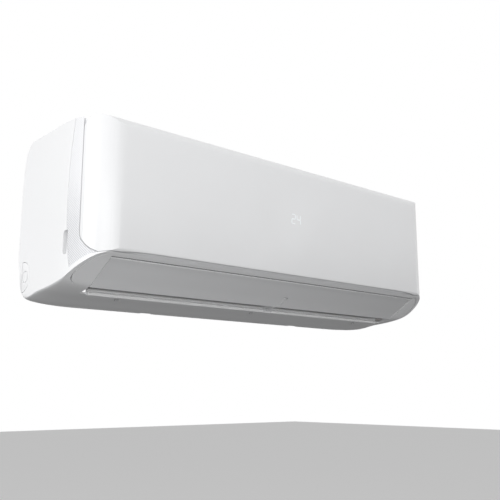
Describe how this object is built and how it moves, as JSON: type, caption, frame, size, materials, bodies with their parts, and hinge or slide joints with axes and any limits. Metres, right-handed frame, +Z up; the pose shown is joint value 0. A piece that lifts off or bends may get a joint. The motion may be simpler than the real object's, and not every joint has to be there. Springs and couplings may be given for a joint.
{
  "type": "mini split indoor unit",
  "caption": "Wall-hung indoor air conditioner unit with a hinged front panel, swinging louver, steering vanes, cross-flow fan, coil, filters and wall plate.",
  "frame": {"origin": "centre of the mounting plate's wall face", "axes": "+Z up, +Y into the wall, +X along the unit to the right as seen from the front"},
  "size_m": [0.85, 0.241, 0.2785],
  "materials": {
    "white_gloss": "gloss",
    "white_satin": "satin",
    "louver_grey": "satin",
    "dark_plastic": "matte",
    "grey_plastic": "matte",
    "black_rubber": "matte",
    "board_green": "satin",
    "zinc_steel": "satin",
    "aluminium_fin": "satin",
    "copper_tube": "satin",
    "brass_nut": "satin",
    "filter_mesh": "matte"
  },
  "bodies": {
    "unit": {"mounting_plate": "zinc_steel", "tube_sheet_left": "zinc_steel", "fan_motor": "zinc_steel", "motor_clamp": "zinc_steel", "motor_clamp_screw": "zinc_steel", "louver_motor": "zinc_steel", "casing_screw_1": "zinc_steel", "casing_screw_2": "zinc_steel", "casing_screw_3": "zinc_steel", "rear_chassis": "white_satin", "side_strip_left": "white_satin", "side_strip_right": "white_satin", "top_inlet_grille": "white_satin", "drain_pan": "white_satin", "louver_centre_bracket": "white_satin", "casing": "white_gloss", "pipe_knockout_left": "white_gloss", "pipe_knockout_right": "white_gloss", "evaporator_front_lower": "aluminium_fin", "evaporator_front_upper": "aluminium_fin", "evaporator_rear": "aluminium_fin", "tube_sheet_right": "copper_tube", "suction_pipe": "copper_tube", "liquid_pipe": "copper_tube", "suction_flare_nut": "brass_nut", "liquid_flare_nut": "brass_nut", "drain_plug": "black_rubber", "fan_bearing_bush": "black_rubber", "terminal_block": "dark_plastic", "control_box": "grey_plastic", "control_box_cover": "grey_plastic", "circuit_board": "board_green", "display_board": "board_green"},
    "front_panel": {"front_panel": "white_gloss"},
    "fan": {"cross_flow_fan": "dark_plastic", "fan_motor_shaft": "zinc_steel"},
    "louver": {"louver": "louver_grey"},
    "filter_left": {"filter_left": "filter_mesh"},
    "filter_right": {"filter_right": "filter_mesh"},
    "manual_button": {"manual_button": "white_satin"},
    "vane_bar_left": {"vane_bar_left": "white_satin"},
    "vane_bar_right": {"vane_bar_right": "white_satin"},
    "vane_1": {"vane_1": "white_satin"},
    "vane_2": {"vane_2": "white_satin"},
    "vane_3": {"vane_3": "white_satin"},
    "vane_4": {"vane_4": "white_satin"},
    "vane_5": {"vane_5": "white_satin"},
    "vane_6": {"vane_6": "white_satin"},
    "vane_7": {"vane_7": "white_satin"},
    "vane_8": {"vane_8": "white_satin"},
    "vane_9": {"vane_9": "white_satin"},
    "vane_10": {"vane_10": "white_satin"},
    "vane_11": {"vane_11": "white_satin"},
    "vane_12": {"vane_12": "white_satin"}
  },
  "joints": [
    {"name": "panel_hinge", "type": "hinge", "parent": "unit", "child": "front_panel", "pos_m": [0, -0.1875, 0.1164], "axis": [-1, 0, 0], "range_deg": [0, 60]},
    {"name": "fan_spin", "type": "hinge", "parent": "unit", "child": "fan", "pos_m": [0, -0.112, -0.046], "axis": [1, 0, 0], "continuous": true},
    {"name": "louver_swing", "type": "hinge", "parent": "unit", "child": "louver", "pos_m": [0, -0.171, -0.124], "axis": [1, 0, 0], "range_deg": [0, 80]},
    {"name": "filter_left_lift", "type": "hinge", "parent": "unit", "child": "filter_left", "pos_m": [-0.195, -0.1, -0.024], "axis": [-1, 0, 0], "range_deg": [0, 10]},
    {"name": "filter_right_lift", "type": "hinge", "parent": "unit", "child": "filter_right", "pos_m": [0.169, -0.1, -0.024], "axis": [-1, 0, 0], "range_deg": [0, 10]},
    {"name": "manual_button_press", "type": "slide", "parent": "unit", "child": "manual_button", "axis": [0, 1, 0], "range_m": [0, 0.0015], "stiffness_N_per_m": 600},
    {"name": "vane_bar_left_slide", "type": "slide", "parent": "unit", "child": "vane_bar_left", "axis": [1, 0, 0], "range_m": [-0.0073, 0.0073]},
    {"name": "vane_bar_right_slide", "type": "slide", "parent": "unit", "child": "vane_bar_right", "axis": [1, 0, 0], "range_m": [-0.0073, 0.0073]},
    {"name": "vane_1_turn", "type": "hinge", "parent": "unit", "child": "vane_1", "pos_m": [-0.33885, -0.108, -0.1276], "axis": [0, -0.4019, 0.9157], "range_deg": [-30, 30]},
    {"name": "vane_2_turn", "type": "hinge", "parent": "unit", "child": "vane_2", "pos_m": [-0.28285, -0.108, -0.1276], "axis": [0, -0.4019, 0.9157], "range_deg": [-30, 30]},
    {"name": "vane_3_turn", "type": "hinge", "parent": "unit", "child": "vane_3", "pos_m": [-0.22685, -0.108, -0.1276], "axis": [0, -0.4019, 0.9157], "range_deg": [-30, 30]},
    {"name": "vane_4_turn", "type": "hinge", "parent": "unit", "child": "vane_4", "pos_m": [-0.17085, -0.108, -0.1276], "axis": [0, -0.4019, 0.9157], "range_deg": [-30, 30]},
    {"name": "vane_5_turn", "type": "hinge", "parent": "unit", "child": "vane_5", "pos_m": [-0.11485, -0.108, -0.1276], "axis": [0, -0.4019, 0.9157], "range_deg": [-30, 30]},
    {"name": "vane_6_turn", "type": "hinge", "parent": "unit", "child": "vane_6", "pos_m": [-0.05885, -0.108, -0.1276], "axis": [0, -0.4019, 0.9157], "range_deg": [-30, 30]},
    {"name": "vane_7_turn", "type": "hinge", "parent": "unit", "child": "vane_7", "pos_m": [0.00515, -0.108, -0.1276], "axis": [0, -0.4019, 0.9157], "range_deg": [-30, 30]},
    {"name": "vane_8_turn", "type": "hinge", "parent": "unit", "child": "vane_8", "pos_m": [0.06115, -0.108, -0.1276], "axis": [0, -0.4019, 0.9157], "range_deg": [-30, 30]},
    {"name": "vane_9_turn", "type": "hinge", "parent": "unit", "child": "vane_9", "pos_m": [0.11715, -0.108, -0.1276], "axis": [0, -0.4019, 0.9157], "range_deg": [-30, 30]},
    {"name": "vane_10_turn", "type": "hinge", "parent": "unit", "child": "vane_10", "pos_m": [0.17315, -0.108, -0.1276], "axis": [0, -0.4019, 0.9157], "range_deg": [-30, 30]},
    {"name": "vane_11_turn", "type": "hinge", "parent": "unit", "child": "vane_11", "pos_m": [0.22915, -0.108, -0.1276], "axis": [0, -0.4019, 0.9157], "range_deg": [-30, 30]},
    {"name": "vane_12_turn", "type": "hinge", "parent": "unit", "child": "vane_12", "pos_m": [0.28515, -0.108, -0.1276], "axis": [0, -0.4019, 0.9157], "range_deg": [-30, 30]}
  ],
  "couplings": [
    {"joint": "vane_1_turn", "follows": "vane_bar_left_slide", "rad_per_m": 71.429},
    {"joint": "vane_2_turn", "follows": "vane_bar_left_slide", "rad_per_m": 71.429},
    {"joint": "vane_3_turn", "follows": "vane_bar_left_slide", "rad_per_m": 71.429},
    {"joint": "vane_4_turn", "follows": "vane_bar_left_slide", "rad_per_m": 71.429},
    {"joint": "vane_5_turn", "follows": "vane_bar_left_slide", "rad_per_m": 71.429},
    {"joint": "vane_6_turn", "follows": "vane_bar_left_slide", "rad_per_m": 71.429},
    {"joint": "vane_7_turn", "follows": "vane_bar_right_slide", "rad_per_m": 71.429},
    {"joint": "vane_8_turn", "follows": "vane_bar_right_slide", "rad_per_m": 71.429},
    {"joint": "vane_9_turn", "follows": "vane_bar_right_slide", "rad_per_m": 71.429},
    {"joint": "vane_10_turn", "follows": "vane_bar_right_slide", "rad_per_m": 71.429},
    {"joint": "vane_11_turn", "follows": "vane_bar_right_slide", "rad_per_m": 71.429},
    {"joint": "vane_12_turn", "follows": "vane_bar_right_slide", "rad_per_m": 71.429}
  ]
}
